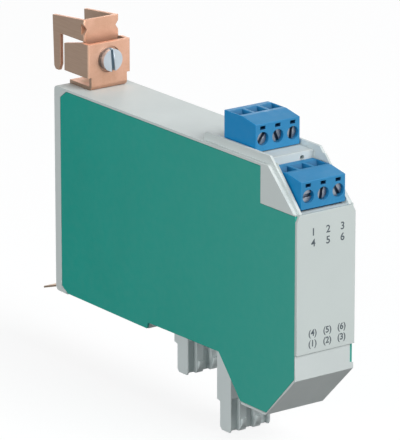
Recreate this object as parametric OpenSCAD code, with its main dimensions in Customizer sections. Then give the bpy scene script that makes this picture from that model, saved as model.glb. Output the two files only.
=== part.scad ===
// Surge protection barrier for a rail mounted module, with two plugs below and an earthing clamp on top.
// X runs across the width, Y from the front face to the rear, Z up. Millimetres.
// The origin is the middle of the flat underside that seats on the host module.

/* [Housing] */
// Width across the side covers
module_w = 20; // [18:0.5:26]
// Depth from the front cover's face to the rear wall
housing_d = 115; // [105:1:135]
// Height of the rear top above the underside
rear_h = 61.8; // [58:0.2:72]
// Thickness of the frame's walls
wall_t = 1.6; // [1.2:0.1:2]
// Thickness of the ring that a side cover rests on
ring_t = 1.2; // [0.8:0.1:1.6]
// Width of the ledge under the edge of a side cover
ledge_w = 1.4; // [1:0.1:1.8]
// Radius of the frame's outer corners
corner_r = 1.4; // [0.6:0.1:2.4]
// Depth of the nose below the underside
nose_drop = 9.7; // [7:0.1:13]
// Height of the chin's edge above the underside
chin_z = 3.7; // [2:0.1:6]
// Set-back of the chin panel behind the front cover's face
panel_set = 0.4; // [0.2:0.1:0.8]
// Length of the nose's flat bottom
nose_flat = 10.9; // [8:0.1:14]
// Length of the slope behind the nose
nose_slope = 10.7; // [8:0.1:14]
// Height of the belly above the underside
belly_z = 2.6; // [1.5:0.1:5]
// Distance from the front face to the rear end of the belly
belly_end = 69.3; // [66:0.1:75]

/* [Terminal tower] */
// Inset of the tower's walls from the side of the housing
tower_inset = 1.2; // [0.9:0.1:1.8]
// Thickness of the tower's side walls
rim_t = 0.8; // [0.6:0.1:1.2]
// Height of the rims above the rear top
rim_h = 2.4; // [1.6:0.1:4]
// Depth of the tower's bed below the top of the rims
bed_drop = 1.6; // [1:0.1:2.2]
// Distance from the front face to the tower's rear end
tower_end = 44; // [42:0.5:52]
// Drop of the front lip, where the sloping rims start, below the rear top
lip_drop = 11; // [8.8:0.1:13.8]
// Height of the step between the two tiers
tier_z = 11.4; // [10:0.1:13]
// Set-back between the two tiers
tier_y = 20.3; // [19:0.1:23]

/* [Side covers] */
// Thickness of the side covers
cover_t = 0.8; // [0.6:0.1:1.2]
// Gap round the edge of a side cover
cover_gap = 0.1; // [0.05:0.05:0.3]
// Width of the frame's margin behind a side cover
rear_margin = 3; // [2:0.1:5]
// Width of the frame's margin above a side cover
top_margin = 0.9; // [0.6:0.1:2]
// Width of the frame's margin below the nose of a side cover
low_margin = 0.8; // [0.5:0.1:1.5]
// Distance from the front face to the step in a side cover's top edge
cover_step_y = 16.6; // [15:0.1:20]
// Diameter of the locating pegs on a side cover
peg_d = 2.4; // [1.8:0.1:3]
// Length of the locating pegs
peg_l = 4; // [2:0.5:6]

/* [Front cover] */
// Thickness of the front cover's plate
front_t = 1; // [0.8:0.1:1.6]
// Height of the front cover's lower edge above the underside
front_low_z = 11; // [9:0.1:14]
// Width of the chamfer on the front cover's upper corners
front_cut = 1; // [0.5:0.1:2]

/* [Terminal blocks] */
// Distance between neighbouring poles
pitch = 5.08; // [4.8:0.02:5.2]
// Number of poles in a block
poles = 3; // [2:1:3]
// Depth of a block
block_d = 14.4; // [14:0.1:16]
// Height of a block from its seat to its flat top
block_h = 11.2; // [10.6:0.1:13]
// Fall of a block's top toward its front edge
block_fall = 1.1; // [0.5:0.1:1.5]
// Height of the relief under a block's front edge above its seat
relief_h = 2.3; // [2.1:0.1:2.5]
// Depth of the relief under a block's front
relief_in = 1.8; // [1.4:0.1:2.2]
// Gap between the lower block's front and the frame's front face
block_front = 1.6; // [1.5:0.05:2.6]
// Diameter of the screw openings in a block
driver_d = 3.8; // [3.6:0.1:4]
// Height of the screws above a block's seat
screw_h = 5.85; // [5.6:0.05:6.4]
// Width of a wire funnel at its mouth
funnel_w = 4.2; // [3.6:0.1:4.3]
// Depth of a wire funnel at its mouth, from front to rear
funnel_d = 4.8; // [4.2:0.1:5.2]
// Width of a wire funnel at its throat
throat_w = 3; // [2.4:0.1:3.2]

/* [Terminal clamps] */
// Diameter of a terminal screw's head
head_d = 3.6; // [3.2:0.1:3.6]
// Height of a terminal screw's head
head_h = 1.8; // [1.2:0.1:2.2]
// Diameter of a terminal screw's shank
shank_d = 2.5; // [2:0.1:2.6]
// Radial gap between a screw and its thread
thread_gap = 0.05; // [0.02:0.01:0.08]
// Width of a clamp cage
cage_w = 3.8; // [3.6:0.05:3.9]
// Height of a clamp cage
cage_h = 5.4; // [4.6:0.1:5.8]
// Thickness of a cage's side and rear walls
cage_t = 0.5; // [0.4:0.05:0.55]
// Thickness of a cage's threaded wall
cage_nut_t = 1.5; // [1.2:0.1:1.8]
// Largest wire that a clamp takes
wire_d = 2.5; // [1.8:0.1:2.6]
// Travel of a clamp cage
clamp_travel = 2; // [1.5:0.1:2.2]
// Thickness of a contact bar
bar_t = 0.8; // [0.6:0.1:1]

/* [Plugs] */
// Width of a plug body
plug_w = 13.9; // [12:0.1:15]
// Thickness of a plug body below its shoulder
plug_t = 5; // [4.6:0.1:6]
// Step of the shoulder behind a plug body
shoulder_t = 1.5; // [1:0.1:2.4]
// Length of a plug below its shoulder
plug_l = 8.5; // [7:0.1:11]
// Depth of the rear plug's shoulder below the underside
shoulder_z = 1.7; // [1:0.1:3]
// Distance from the front face to the rear plug's front side
plug_y = 54.1; // [52:0.1:56]
// Thickness of a plug's partition ribs
rib_t = 1.3; // [1:0.1:1.8]
// Depth of the recesses in a plug's front
recess_d = 1.6; // [1:0.1:1.8]
// Reach of the latch hook in front of a plug
hook_reach = 0.8; // [0.4:0.1:1.2]

/* [Earthing clamp] */
// Thickness of the copper sheet
sheet_t = 1.15; // [0.8:0.05:1.3]
// Offset of the clamp from the middle of the width
clamp_x = 0.8; // [0:0.1:1]
// Width of the clamp's box
clamp_w = 14.8; // [13.8:0.1:17]
// Width of the clamp's foot
foot_w = 12.5; // [11:0.1:12.8]
// Height of the clamp's box above the housing
clamp_h = 13.7; // [12.5:0.1:17]
// Depth of the clamp's box
clamp_d = 12; // [10.5:0.1:12.4]
// Distance from the clamp's side walls to the rear of the housing
clamp_back = 0.3; // [0:0.1:2]
// Height of the clamp's lower side edges above the housing
clamp_under = 3.8; // [3:0.1:4.5]
// Gap between the rail clip and the box's side walls
clip_gap = 0.15; // [0.1:0.05:0.6]
// Distance from the box's front to the clip's front plate
clip_set = 3.8; // [3.6:0.1:4.6]
// Height of the clip's top edge above the box
clip_rise = 6.4; // [5.8:0.1:9]
// Height of a clip arm at its front
arm_h = 6.4; // [5.8:0.1:6.4]
// Gap for the busbar between the box and the clip's legs
busbar_gap = 3.8; // [3.2:0.1:5]
// Width of a clip leg
leg_w = 3.9; // [3:0.1:5]
// Height of a leg's lower end above the housing
leg_z = 2.6; // [1.5:0.1:5]
// Diameter of the clamp screw
clamp_screw_d = 4; // [3:0.5:4]
// Diameter of the clamp screw's head
clamp_head_d = 6.6; // [6.2:0.1:7.4]
// Height of the clamp screw's head
clamp_head_h = 2.5; // [1.8:0.1:3]
// Height of the clamp screw above the housing
clamp_screw_z = 8.6; // [8.2:0.1:9.4]
// Length that the rail leaf sticks out behind the housing
leaf_l = 13.2; // [8:0.2:18]
// Drop of the rail leaf's end below the underside
leaf_drop = 3.6; // [2:0.1:5]

/* [Circuit] */
// Thickness of the circuit board
board_t = 1.6; // [1:0.1:2]
// Distance from the frame's left side to the board
board_x = 2.4; // [2:0.1:3.5]
// Clearance between the board and the frame
board_gap = 0.25; // [0.1:0.05:0.6]
// Diameter of a discharge tube
tube_d = 8; // [6:0.2:9]
// Length of a discharge tube
tube_l = 10; // [8:0.2:12]
// Diameter of a suppressor diode
diode_d = 5.2; // [4:0.2:6]
// Length of a suppressor diode
diode_l = 9.2; // [7:0.2:11]
// Diameter of a decoupling resistor
resistor_d = 4.4; // [3:0.2:5]
// Length of a decoupling resistor
resistor_l = 11; // [8:0.2:13]
// Diameter of the component leads
lead_d = 1; // [0.6:0.1:1.2]

/* [Hidden] */
$fn = 48;
POLYGON_FN = 12;
EPS = 0.01;
// Gap between faces that only rest on each other
SEAT = 0.02;

// Frame
half_w = module_w / 2;
core_x = half_w - cover_t;
chin_y = panel_set + chin_z + nose_drop;
nose_y = chin_y + nose_flat;
belly_y = nose_y + nose_slope;
tower_x = half_w - tower_inset;
lip_z = rear_h - lip_drop;
tower_top = rear_h + rim_h;
bed_z = tower_top - bed_drop;
bay_x = tower_x - rim_t;
slope_y = panel_set + tower_top - lip_z;
front_top_z = lip_z - 0.1;
datum_y = (belly_end + housing_d) / 2 - 1;

// Terminal tiers, as [front of the block, seat of the block]
lower_tier = [block_front, lip_z - 1.6];
upper_tier = lower_tier + [tier_y, tier_z];
tiers = [upper_tier, lower_tier];
block_w = poles * pitch - 0.2;
block_slack = 0.3;
head_set = 1;
cage_open = head_set + head_h + clamp_travel + 0.5;
bar_y = cage_open + cage_nut_t + 0.7;
cage_l = bar_y + bar_t + wire_d + 0.1 + cage_t - cage_open;
funnel_y = bar_y + bar_t + wire_d / 2;
funnel_back = funnel_d * 0.6;
chamber_y = head_set + head_h + 0.1;
chamber_end = cage_open + cage_l + 0.25;
chamber_w = cage_w + 0.2;
chamber_h = cage_h + 0.3;

// Place of a pole across the width
function pole_x(i) = (i - (poles - 1) / 2) * pitch;

tail_w = 1.2;
bar_w = cage_w - 2 * cage_t - 0.2;
leg_t = 1;
leg_step = 2;
slot_w = 1.7;
slot_t = 0.9;
slot_deep = 1.6;
slot_down = 1.2;
screw_slot = [0.8, 0.9];
slot_angles = [35, -20, 8, 85, 10, -30];

// Plugs, as [front side, shoulder height]
rear_plug = [plug_y, -shoulder_z];
front_plug = rear_plug - [tier_y, tier_z];
plug_gap = 0.1;
flange_t = 1.2;
flange_out = 0.8;
chamber_x = pitch - 2 * rib_t + 0.2;
chamber_up = 1.5;
blade_w = 2;
blade_y = recess_d + (plug_t - recess_d - bar_t) / 2;
pocket_gap = 0.5;
pocket_up = plug_l - 2.5;
hook_w = 1.6;
hook_up = plug_l - 4.8;

// Snaps that hold the front cover
snap_heights = [front_low_z + 8, lip_z - 9];
snap_x = 3.8;
snap_w = 2.4;
snap_t = 1.2;

// Earthing clamp
box_y = housing_d - clamp_back - clamp_d;
box_z = rear_h + SEAT;
clip_w = clamp_w - 2 * (sheet_t + clip_gap);
clip_y = box_y + clip_set;
leg_y = housing_d - clamp_back + busbar_gap;
clip_top = box_z + clamp_h + clip_rise;
strip_t = 0.6;
strip_w = 10.8;
leaf_knee = 4;
leaf_slope = 0.32;
strip_y = housing_d - wall_t - strip_t - 0.1;
rivet_d = 2;
rivet_y = box_y + clamp_d * 0.55;
rivet_places = [clamp_x - 3, clamp_x + 3];
rivet_head_d = rivet_d + 1.4;
rivet_sink = 0.5;
dimple = 0.6;
notch_d = 1.1;
notch_h = 3.4;
notch_y = sheet_t + 0.3;
clamp_slot_angle = -4;
clamp_slot = [0.8, 1.2];
bend_r = 0.5;
foot_r = sheet_t + 0.2;
tongue_l = 6;

// Circuit board
board_left = -core_x + board_x;
board_face = board_left + board_t;
board_margin = 3;
tube_rows = [46, 60];
tube_z = 34;
axial_rows = [14, 24, 36, 46];
lead_out = 2;
resistor_y = housing_d - 17;
diode_y = (tube_rows[1] + tube_d / 2 + resistor_y - resistor_l / 2 - lead_out) / 2;

function unit(v) = v / norm(v);

// Moves each edge of a counterclockwise outline inward by the distance
function inset(p, d) = [
    for (i = [0:len(p) - 1])
        let (
            before = p[(i + len(p) - 1) % len(p)],
            here = p[i],
            after = p[(i + 1) % len(p)],
            u = unit(here - before),
            v = unit(after - here),
            nu = [-u[1], u[0]],
            nv = [-v[1], v[0]]
        )
        here + (nu + nv) * d / (1 + nu * nv)
];

// Rounds the corner of an outline between two straight edges
function arc(centre, r, from, to, steps = 5) = [
    for (i = [0:steps])
        let (a = from + (to - from) * i / steps)
        centre + r * [cos(a), sin(a)]
];

// Underside and chin of the housing as [depth, height], from the front to the rear
under_line = [
    [panel_set, chin_z],
    [chin_y, -nose_drop],
    [nose_y, -nose_drop],
    [belly_y, belly_z],
    [belly_end, belly_z - 0.6],
    [belly_end + 0.6, 0]
];

// Hollow inside the frame's walls
hollow_outline = inset(
    concat(
        under_line,
        [[housing_d, 0], [housing_d, rear_h]],
        [[slope_y - 0.7, rear_h], [panel_set + 1.2, lip_z], [panel_set, lip_z]]
    ),
    wall_t
);

// Side view of the housing
housing_outline = concat(
    under_line,
    arc([housing_d - corner_r, corner_r], corner_r, -90, 0),
    arc([housing_d - corner_r, rear_h - corner_r], corner_r, 0, 90),
    [
        [slope_y - 0.7, rear_h],
        [panel_set + 1.2, lip_z],
        [panel_set, lip_z]
    ]
);

// Side view of the raised tower that holds the terminals
tower_outline = concat(
    [[panel_set, lip_z - 4], [tower_end, lip_z - 4]],
    arc([tower_end - corner_r, tower_top - corner_r], corner_r, 0, 90),
    [[slope_y, tower_top], [panel_set, lip_z]]
);

// Side view of a side cover
cover_low_z = -nose_drop + low_margin;
cover_top_z = rear_h - top_margin;
cover_outline = [
    [front_t + SEAT, chin_z + 0.5],
    [chin_y - 0.2, cover_low_z],
    [nose_y + low_margin * nose_slope / (belly_z + nose_drop), cover_low_z],
    [belly_y + 0.1, belly_z + 0.1],
    [belly_end - 0.2, belly_z - 0.5],
    [belly_end + 0.5, 0.2],
    [housing_d - 2 * rear_margin, 0.2],
    [housing_d - rear_margin, 2],
    [housing_d - rear_margin, cover_top_z - 2.2],
    [housing_d - 2 * rear_margin, cover_top_z],
    [cover_step_y, cover_top_z],
    [cover_step_y, lip_z - 0.5],
    [front_t + SEAT, lip_z - 0.5]
];

// Strip along the slope, the belly and the underside where a side cover reaches the frame's edge
open_edge = [
    [nose_y - 1, cover_low_z - cover_gap],
    [nose_y + 3, cover_low_z - cover_gap],
    [belly_y + 2, -1],
    [housing_d - 2 * rear_margin, -1],
    [housing_d - 2 * rear_margin, 1],
    [belly_end + 0.5, 1],
    [belly_end - 0.2, belly_z],
    [belly_y, belly_z + 0.5],
    [nose_y - 1, cover_low_z + 1]
];

// Bosses that take the side covers' pegs, against the frame's walls
boss_d = peg_d + 2;
boss_hold = boss_d / 2 - 0.4;
peg_places = [
    [front_t + wall_t + boss_hold, lip_z - 17],
    [chin_y + 5, wall_t - nose_drop + boss_hold],
    [housing_d - 22, wall_t + boss_hold],
    [housing_d - 34, rear_h - wall_t - boss_hold]
];

// Extrudes a side view from one width to the other
module across(x0, x1) {
    rotate([90, 0, 90])
        translate([0, 0, x0])
            linear_extrude(x1 - x0)
                children();
}

// Box between two corners
module block(from, to) {
    translate(from)
        cube(to - from);
}

// Cylinder along Y from one depth to the other
module rod_y(d, y0, y1, sides = $fn) {
    translate([0, y0, 0])
        rotate([-90, 0, 0])
            cylinder(d = d, h = y1 - y0, $fn = sides);
}

// Cylinder along X from one side to the other
module rod_x(d, x0, x1, sides = $fn) {
    translate([x0, 0, 0])
        rotate([0, 90, 0])
            cylinder(d = d, h = x1 - x0, $fn = sides);
}

// Puts the origin in the middle of the seat on the host module
module placed() {
    translate([0, -datum_y, 0])
        children();
}

// Wells that the terminal blocks stand in, and the bed between them
well_t = 1.2;
floor_t = 1.4;
lower_rear = lower_tier[0] + block_d + block_slack;
upper_rear = upper_tier[0] + block_d + block_slack;
fused_x = bay_x + 0.1;
latch_hole_d = 1.4;
latch_hole = [pitch * 0.8, lower_tier[1] + block_h + 0.5];

// Front of the well that a block stands in, under the block's relief
function well_front(tier) = tier[0] + relief_in - block_slack;

module tower_bay() {
    across(-bay_x, bay_x)
        polygon([
            [well_front(lower_tier), lower_tier[1]],
            [lower_rear, lower_tier[1]],
            [lower_rear, bed_z],
            [tower_end + 1, bed_z],
            [tower_end + 1, tower_top + 1],
            [-1, tower_top + 1],
            [-1, lip_z],
            [well_front(lower_tier), lip_z]
        ]);
    block([-bay_x, well_front(upper_tier), upper_tier[1]], [bay_x, upper_rear, bed_z + 1]);
}

module tower_wells() {
    across(-fused_x, fused_x)
        polygon([
            [front_t + SEAT, lower_tier[1] - floor_t],
            [lower_rear + well_t, lower_tier[1] - floor_t],
            [lower_rear + well_t, bed_z],
            [slope_y - rim_h, bed_z],
            [panel_set, lip_z],
            [panel_set, lip_z - 0.5],
            [front_t + SEAT, lip_z - 0.5]
        ]);
    block(
        [-fused_x, well_front(upper_tier) - well_t, upper_tier[1] - floor_t],
        [fused_x, upper_rear + well_t, bed_z]
    );
}

module tail_slots() {
    for (tier = tiers, i = [0:poles - 1])
        translate([pole_x(i), tier[0] + bar_y + bar_t / 2, tier[1]])
            cube([tail_w + 0.4, bar_t + 0.4, 8], center = true);
}

// Board guides on the top, rear and bottom walls
guide_t = 1;
guide_l = 4;

module board_guide(x, y, z, size) {
    translate([x, y, z])
        cube([guide_t, size[0], size[1]]);
}

module guide_pair(y, z, size) {
    for (x = [board_left - board_gap / 2 - guide_t, board_face + board_gap / 2])
        board_guide(x, y, z, size);
}

module board_guides() {
    reach = board_margin + 2;
    for (y = [housing_d * 0.45, housing_d * 0.62, housing_d * 0.86])
        guide_pair(y, cover_top_z - reach, [guide_l, reach]);
    for (z = [rear_h * 0.3, rear_h * 0.6])
        board_guide(
            board_left - board_gap / 2 - guide_t,
            housing_d - rear_margin - reach,
            z,
            [reach + rear_margin - wall_t / 2, guide_l]
        );
    for (y = [belly_end + 6, housing_d * 0.86])
        guide_pair(y, wall_t / 2, [guide_l, reach]);
}

module plug_openings() {
    for (plug = [front_plug, rear_plug])
        block(
            [-plug_w / 2 - plug_gap, plug[0] - plug_gap, -nose_drop - 8],
            [plug_w / 2 + plug_gap, plug[0] + plug_t + shoulder_t + plug_gap, belly_z + wall_t + 3]
        );
}

module snap_slots() {
    for (z = snap_heights, side = [-1, 1])
        translate([side * snap_x, 2, z])
            cube([snap_w + 0.3, 4, snap_t + 1.2], center = true);
}

// Band of the earthing strip, as a side view
module strip_band(grow = 0) {
    top = rear_h - wall_t - SEAT + grow;
    low = wall_t + 1;
    exit = low - 1;
    knee_y = housing_d + leaf_knee;
    tip_y = housing_d + leaf_l;
    tip_z = -leaf_drop;
    knee_z = tip_z + leaf_slope * (leaf_l - leaf_knee);
    inner = strip_y - grow;
    outer = strip_y + strip_t + grow;
    flange_y = box_y + 1.5 - grow;
    polygon([
        [flange_y, top - strip_t - 2 * grow],
        [inner, top - strip_t - 2 * grow],
        [inner, low - grow],
        [housing_d, exit - strip_t / 2 - grow],
        [knee_y, knee_z - strip_t / 2 - grow],
        [tip_y, tip_z - strip_t / 2 - grow],
        [tip_y, tip_z + strip_t / 2 + grow],
        [knee_y, knee_z + strip_t / 2 + grow],
        [housing_d, exit + strip_t / 2 + grow],
        [outer, low + strip_t / 2 + grow],
        [outer, top],
        [flange_y, top]
    ]);
}

module rivet_holes(z0, z1, gap) {
    for (x = rivet_places)
        translate([x, rivet_y, z0])
            cylinder(d = rivet_d + 2 * gap, h = z1 - z0);
}

module housing_frame() {
    color("gainsboro")
        placed()
            difference() {
                union() {
                    difference() {
                        union() {
                            across(-half_w, half_w)
                                polygon(housing_outline);
                            across(-tower_x, tower_x)
                                polygon(tower_outline);
                        }
                        across(ring_t - core_x, core_x - ring_t)
                            polygon(hollow_outline);
                        across(-half_w - 1, half_w + 1)
                            polygon(inset(cover_outline, ledge_w));
                        block(
                            [-bay_x, lower_rear + well_t, lip_z],
                            [bay_x, tower_end - wall_t, bed_z - wall_t]
                        );
                    }
                    tower_wells();
                    for (place = peg_places)
                        translate([0, place[0], place[1]])
                            rod_x(boss_d, ring_t - core_x, core_x - ring_t);
                    board_guides();
                }
                for (side = [0, 1])
                    mirror([side, 0, 0]) {
                        across(core_x, half_w + 1)
                            polygon(inset(cover_outline, -cover_gap));
                        across(core_x, half_w + 1)
                            polygon(open_edge);
                        for (place = peg_places)
                            translate([0, place[0], place[1]])
                                rod_x(peg_d + 0.1, core_x - ring_t - peg_l - 0.5, half_w);
                    }
                block([-half_w - 1, -1, front_low_z - 0.1], [half_w + 1, front_t + SEAT, lip_z - 0.08]);
                block([core_x - 0.4, -1, chin_z + 1.7], [half_w + 1, front_t, front_low_z]);
                tower_bay();
                translate([latch_hole[0], 0, latch_hole[1]])
                    rod_y(latch_hole_d, lower_rear - 0.5, lower_rear + well_t + 0.5);
                tail_slots();
                plug_openings();
                snap_slots();
                rivet_holes(rear_h - wall_t - 1, rear_h + 1, 0.1);
                across(-strip_w / 2 - 0.1, strip_w / 2 + 0.1)
                    strip_band(0.1);
            }
}

module side_cover() {
    across(core_x + SEAT, half_w - 0.05)
        polygon(cover_outline);
    difference() {
        across(core_x - 0.9, core_x + SEAT)
            polygon(inset(cover_outline, ledge_w + 0.15));
        across(core_x - 2, core_x + SEAT)
            polygon(inset(cover_outline, ledge_w + 1.15));
    }
    for (place = peg_places)
        translate([0, place[0], place[1]])
            rod_x(peg_d, core_x - ring_t - peg_l, core_x + SEAT);
}

module side_cover_left() {
    color("seagreen")
        placed()
            mirror([1, 0, 0])
                side_cover();
}

module side_cover_right() {
    color("seagreen")
        placed()
            side_cover();
}

module front_cover() {
    color("whitesmoke")
        placed() {
            translate([0, front_t, 0])
                rotate([90, 0, 0])
                    linear_extrude(front_t)
                        polygon([
                            [0.05 - half_w, front_low_z],
                            [half_w - 0.05, front_low_z],
                            [half_w - 0.05, front_top_z - 2 * front_cut],
                            [half_w - front_cut, front_top_z],
                            [front_cut - half_w, front_top_z],
                            [0.05 - half_w, front_top_z - 2 * front_cut]
                        ]);
            for (z = snap_heights, side = [-1, 1])
                translate([side * snap_x, 0, z])
                    across(-snap_w / 2, snap_w / 2)
                        polygon([
                            [front_t - EPS, -snap_t / 2],
                            [panel_set + wall_t + 1.4, -snap_t / 2],
                            [panel_set + wall_t + 1.4, snap_t / 2],
                            [panel_set + wall_t + 0.1, snap_t / 2 + 0.5],
                            [panel_set + wall_t + 0.1, snap_t / 2],
                            [front_t - EPS, snap_t / 2]
                        ]);
        }
}

// Section of a funnel as [across, height], with its mouth from one place to the other
function funnel_section(from, to, depth) = [
    [-throat_w / 2, -depth - EPS],
    [throat_w / 2, -depth - EPS],
    [throat_w / 2, -depth * 0.75],
    [to, EPS],
    [from, EPS],
    [-throat_w / 2, -depth * 0.75]
];

// Funnel that narrows from its mouth to its throat
module wire_funnel(depth) {
    intersection() {
        across(-funnel_w, funnel_w)
            polygon(funnel_section(funnel_back - funnel_d, funnel_back, depth));
        rotate([90, 0, 0])
            linear_extrude(2 * funnel_d, center = true)
                polygon(funnel_section(-funnel_w / 2, funnel_w / 2, depth));
    }
}

module terminal_block(tier) {
    translate([0, tier[0], tier[1]])
        difference() {
            across(-block_w / 2, block_w / 2)
                polygon([
                    [0, relief_h],
                    [relief_in, relief_h],
                    [relief_in, 0],
                    [block_d, 0],
                    [block_d, block_h],
                    [block_d * 0.42, block_h],
                    [0, block_h - block_fall]
                ]);
            for (i = [0:poles - 1])
                translate([pole_x(i), 0, screw_h]) {
                    rod_y(driver_d, -1, chamber_y + EPS);
                    translate([-chamber_w / 2, chamber_y, -chamber_h / 2])
                        cube([chamber_w, chamber_end - chamber_y, chamber_h]);
                    translate([0, funnel_y, block_h - screw_h])
                        wire_funnel(block_h - screw_h - chamber_h / 2);
                    translate([0, 0, block_h - block_fall - screw_h - slot_down])
                        cube([slot_w, 2 * slot_deep, slot_t], center = true);
                    translate([-tail_w / 2 - 0.1, bar_y - 0.05, -screw_h - 1])
                        cube([tail_w + 0.2, bar_t + 0.1, screw_h + 1]);
                }
        }
}

module terminal_block_upper() {
    color("steelblue")
        placed()
            terminal_block(upper_tier);
}

module terminal_block_lower() {
    color("steelblue")
        placed()
            terminal_block(lower_tier);
}

// Contact bars with tails that step down to the board
module terminal_contacts(tier) {
    for (i = [0:poles - 1])
        let (x = pole_x(i), z = tier[1] - floor_t - 1.5 - leg_step * i) {
            translate([x, tier[0] + bar_y, tier[1] + screw_h - chamber_h / 2 + 0.05])
                translate([-bar_w / 2, 0, 0])
                    cube([bar_w, bar_t, chamber_h - 0.1]);
            block(
                [x - tail_w / 2, tier[0] + bar_y, z],
                [x + tail_w / 2, tier[0] + bar_y + bar_t, tier[1] + screw_h - chamber_h / 2 + 0.1]
            );
            block(
                [board_left - 0.8, tier[0] + bar_y, z],
                [x, tier[0] + bar_y + bar_t, z + leg_t]
            );
        }
}

module terminal_contacts_upper() {
    color("silver")
        placed()
            terminal_contacts(upper_tier);
}

module terminal_contacts_lower() {
    color("silver")
        placed()
            terminal_contacts(lower_tier);
}

module slotted_head(d, h, slot_size, angle) {
    difference() {
        rod_y(d, 0, h);
        rotate([0, angle, 0])
            translate([-slot_size[0] / 2, -1, -d])
                cube([slot_size[0], 1 + slot_size[1], 2 * d]);
    }
}

module terminal_screw(number) {
    tier = tiers[floor((number - 1) / poles)];
    i = (number - 1) % poles;
    color("lightsteelblue")
        placed()
            translate([pole_x(i), tier[0] + head_set, tier[1] + screw_h]) {
                slotted_head(head_d, head_h, screw_slot, slot_angles[(number - 1) % len(slot_angles)]);
                rod_y(shank_d, head_h - EPS, bar_y - head_set - 0.05);
            }
}

module terminal_screw_1() { terminal_screw(1); }
module terminal_screw_2() { terminal_screw(2); }
module terminal_screw_3() { terminal_screw(3); }
module terminal_screw_4() { terminal_screw(4); }
module terminal_screw_5() { terminal_screw(5); }
module terminal_screw_6() { terminal_screw(6); }

module clamp_cage(number) {
    tier = tiers[floor((number - 1) / poles)];
    i = (number - 1) % poles;
    color("goldenrod")
        placed()
            translate([pole_x(i), tier[0] + cage_open, tier[1] + screw_h])
                difference() {
                    translate([-cage_w / 2, 0, -cage_h / 2])
                        cube([cage_w, cage_l, cage_h]);
                    translate([-cage_w / 2 + cage_t, cage_nut_t, -cage_h])
                        cube([cage_w - 2 * cage_t, cage_l - cage_nut_t - cage_t, 2 * cage_h]);
                    rod_y(shank_d + 2 * thread_gap, -1, cage_nut_t + 1);
                }
}

module clamp_cage_1() { clamp_cage(1); }
module clamp_cage_2() { clamp_cage(2); }
module clamp_cage_3() { clamp_cage(3); }
module clamp_cage_4() { clamp_cage(4); }
module clamp_cage_5() { clamp_cage(5); }
module clamp_cage_6() { clamp_cage(6); }

// Plug body with a recess and a contact pocket for each pole, and snap hooks on the ribs between them
module plug_body(plug) {
    seat_z = belly_z + wall_t + SEAT;
    low_z = plug[1] - plug_l;
    back = plug_t + shoulder_t;
    translate([0, plug[0], 0])
        difference() {
            union() {
                across(-plug_w / 2, plug_w / 2)
                    polygon([
                        [0, low_z + 1],
                        [0.5, low_z],
                        [plug_t - 0.8, low_z],
                        [plug_t, low_z + 0.8],
                        [plug_t, plug[1] - 0.4],
                        [back, plug[1]],
                        [back, seat_z + EPS],
                        [0, seat_z + EPS]
                    ]);
                block([-plug_w / 2, -flange_out, seat_z], [plug_w / 2, back + flange_out, seat_z + flange_t]);
                for (i = [1:poles - 1])
                    across(pole_x(i) - pitch / 2 - hook_w / 2, pole_x(i) - pitch / 2 + hook_w / 2)
                        polygon([
                            [EPS, low_z + hook_up],
                            [-hook_reach, low_z + hook_up],
                            [-hook_reach, low_z + hook_up - 0.8],
                            [EPS, low_z + 0.8]
                        ]);
            }
            for (i = [0:poles - 1])
                translate([pole_x(i), 0, 0]) {
                    block([-chamber_x / 2, -1, low_z - 1], [chamber_x / 2, recess_d, plug[1] + chamber_up]);
                    block(
                        [-blade_w / 2 - pocket_gap, blade_y - pocket_gap, low_z - 1],
                        [blade_w / 2 + pocket_gap, blade_y + bar_t + pocket_gap, low_z + pocket_up]
                    );
                    block(
                        [-blade_w / 2 - 0.05, blade_y - 0.05, low_z - 1],
                        [blade_w / 2 + 0.05, blade_y + bar_t + 0.05, seat_z + flange_t + 1]
                    );
                }
        }
}

module plug_body_front() {
    color("lightgray")
        placed()
            plug_body(front_plug);
}

module plug_body_rear() {
    color("lightgray")
        placed()
            plug_body(rear_plug);
}

// Contact blades that rise through a plug and step across to the board
module plug_contacts(plug) {
    for (i = [0:poles - 1])
        let (x = pole_x(i), z = belly_z + wall_t + flange_t + 3 + leg_step * i) {
            block(
                [x - blade_w / 2, plug[0] + blade_y, plug[1] - plug_l + 1.2],
                [x + blade_w / 2, plug[0] + blade_y + bar_t, z]
            );
            block(
                [board_left - 0.8, plug[0] + blade_y, z - leg_t],
                [x + blade_w / 2, plug[0] + blade_y + bar_t, z]
            );
        }
}

module plug_contacts_front() {
    color("silver")
        placed()
            plug_contacts(front_plug);
}

module plug_contacts_rear() {
    color("silver")
        placed()
            plug_contacts(rear_plug);
}

// Through holes in the board for the contacts' legs
module leg_holes() {
    for (tier = tiers, i = [0:poles - 1])
        let (z = tier[1] - floor_t - 1.5 - leg_step * i)
            block(
                [board_left - 1, tier[0] + bar_y - 0.1, z - 0.1],
                [board_face + 1, tier[0] + bar_y + bar_t + 0.1, z + leg_t + 0.1]
            );
    for (plug = [front_plug, rear_plug], i = [0:poles - 1])
        let (z = belly_z + wall_t + flange_t + 3 + leg_step * i)
            block(
                [board_left - 1, plug[0] + blade_y - 0.1, z - leg_t - 0.1],
                [board_face + 1, plug[0] + blade_y + bar_t + 0.1, z + 0.1]
            );
}

// Notches in the board's lower edge round each plug, with a slot for the left pole's blade
module board_notches() {
    for (plug = [front_plug, rear_plug]) {
        block(
            [board_left - 1, plug[0] - flange_out - board_gap, -nose_drop],
            [
                board_face + 1,
                plug[0] + plug_t + shoulder_t + flange_out + board_gap,
                belly_z + wall_t + SEAT + flange_t + board_gap
            ]
        );
        block(
            [board_left - 1, plug[0] + blade_y - 0.1, 0],
            [board_face + 1, plug[0] + blade_y + bar_t + 0.1, belly_z + wall_t + flange_t + 3.1]
        );
    }
}

module lead_hole(y, z) {
    translate([0, y, z])
        rod_x(lead_d + 0.2, board_left - 1, board_face + 1);
}

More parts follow.
